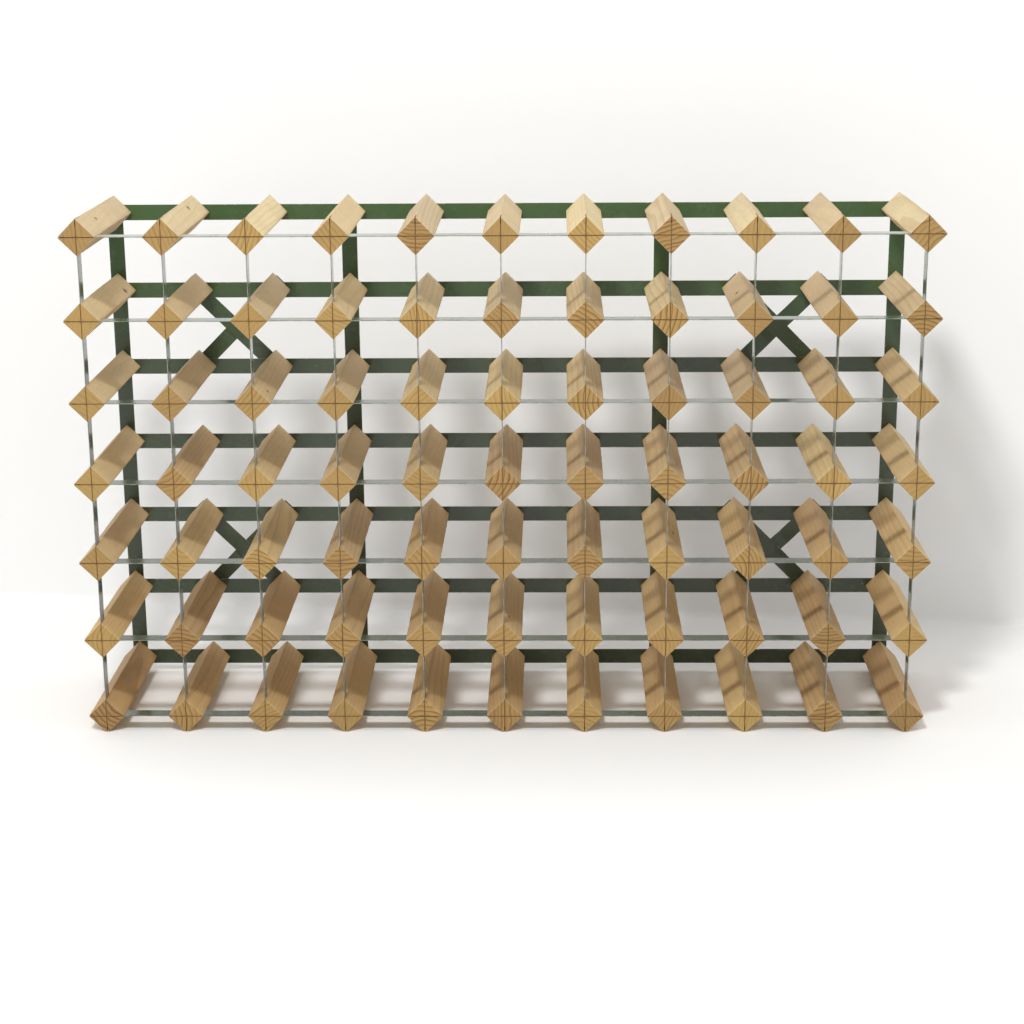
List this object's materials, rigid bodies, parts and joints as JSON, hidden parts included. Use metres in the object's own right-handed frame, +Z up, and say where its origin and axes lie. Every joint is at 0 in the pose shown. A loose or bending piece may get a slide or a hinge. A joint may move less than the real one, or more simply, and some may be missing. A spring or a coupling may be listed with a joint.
{
  "type": "wine rack",
  "caption": "Freestanding wine rack of square timber bars set on edge in a lattice of thin painted steel strips, with open cells that hold bottles on their sides.",
  "frame": {"origin": "centre of the rack's footprint, on the surface it stands on", "axes": "+X along the width, to the right as seen from the front; +Y from the open front to the back; +Z up"},
  "size_m": [1.005, 0.2256, 0.6188],
  "materials": {
    "pine": "planed and unvarnished, darker on the end grain",
    "green_strip": "glossy dark green enamel on thin steel strip"
  },
  "bodies": {
    "root": {"top_bar_01": "pine", "top_bar_02": "pine", "top_bar_03": "pine", "top_bar_04": "pine", "top_bar_05": "pine", "top_bar_06": "pine", "top_bar_07": "pine", "top_bar_08": "pine", "top_bar_09": "pine", "top_bar_10": "pine", "top_bar_11": "pine", "bar_row_2": "pine", "bar_row_3": "pine", "bar_row_4": "pine", "bar_row_5": "pine", "bar_row_6": "pine", "bottom_bar_01": "pine", "bottom_bar_02": "pine", "bottom_bar_03": "pine", "bottom_bar_04": "pine", "bottom_bar_05": "pine", "bottom_bar_06": "pine", "bottom_bar_07": "pine", "bottom_bar_08": "pine", "bottom_bar_09": "pine", "bottom_bar_10": "pine", "bottom_bar_11": "pine", "front_cross_strip_1": "green_strip", "front_cross_strip_2": "green_strip", "front_cross_strip_3": "green_strip", "front_cross_strip_4": "green_strip", "front_cross_strip_5": "green_strip", "front_cross_strip_6": "green_strip", "front_cross_strip_7": "green_strip", "front_upright_01": "green_strip", "front_upright_02": "green_strip", "front_upright_03": "green_strip", "front_upright_04": "green_strip", "front_upright_05": "green_strip", "front_upright_06": "green_strip", "front_upright_07": "green_strip", "front_upright_08": "green_strip", "front_upright_09": "green_strip", "front_upright_10": "green_strip", "front_upright_11": "green_strip", "rear_cross_strip_top": "green_strip", "rear_cross_strip_bottom": "green_strip", "rear_upright_column_01": "green_strip", "rear_upright_column_04": "green_strip", "rear_upright_column_08": "green_strip", "rear_upright_column_11": "green_strip", "rear_brace_left_upper_falling": "green_strip", "rear_brace_left_upper_rising": "green_strip", "rear_brace_left_lower_falling": "green_strip", "rear_brace_left_lower_rising": "green_strip", "rear_brace_right_upper_falling": "green_strip", "rear_brace_right_upper_rising": "green_strip", "rear_brace_right_lower_falling": "green_strip", "rear_brace_right_lower_rising": "green_strip"}
  },
  "joints": []
}
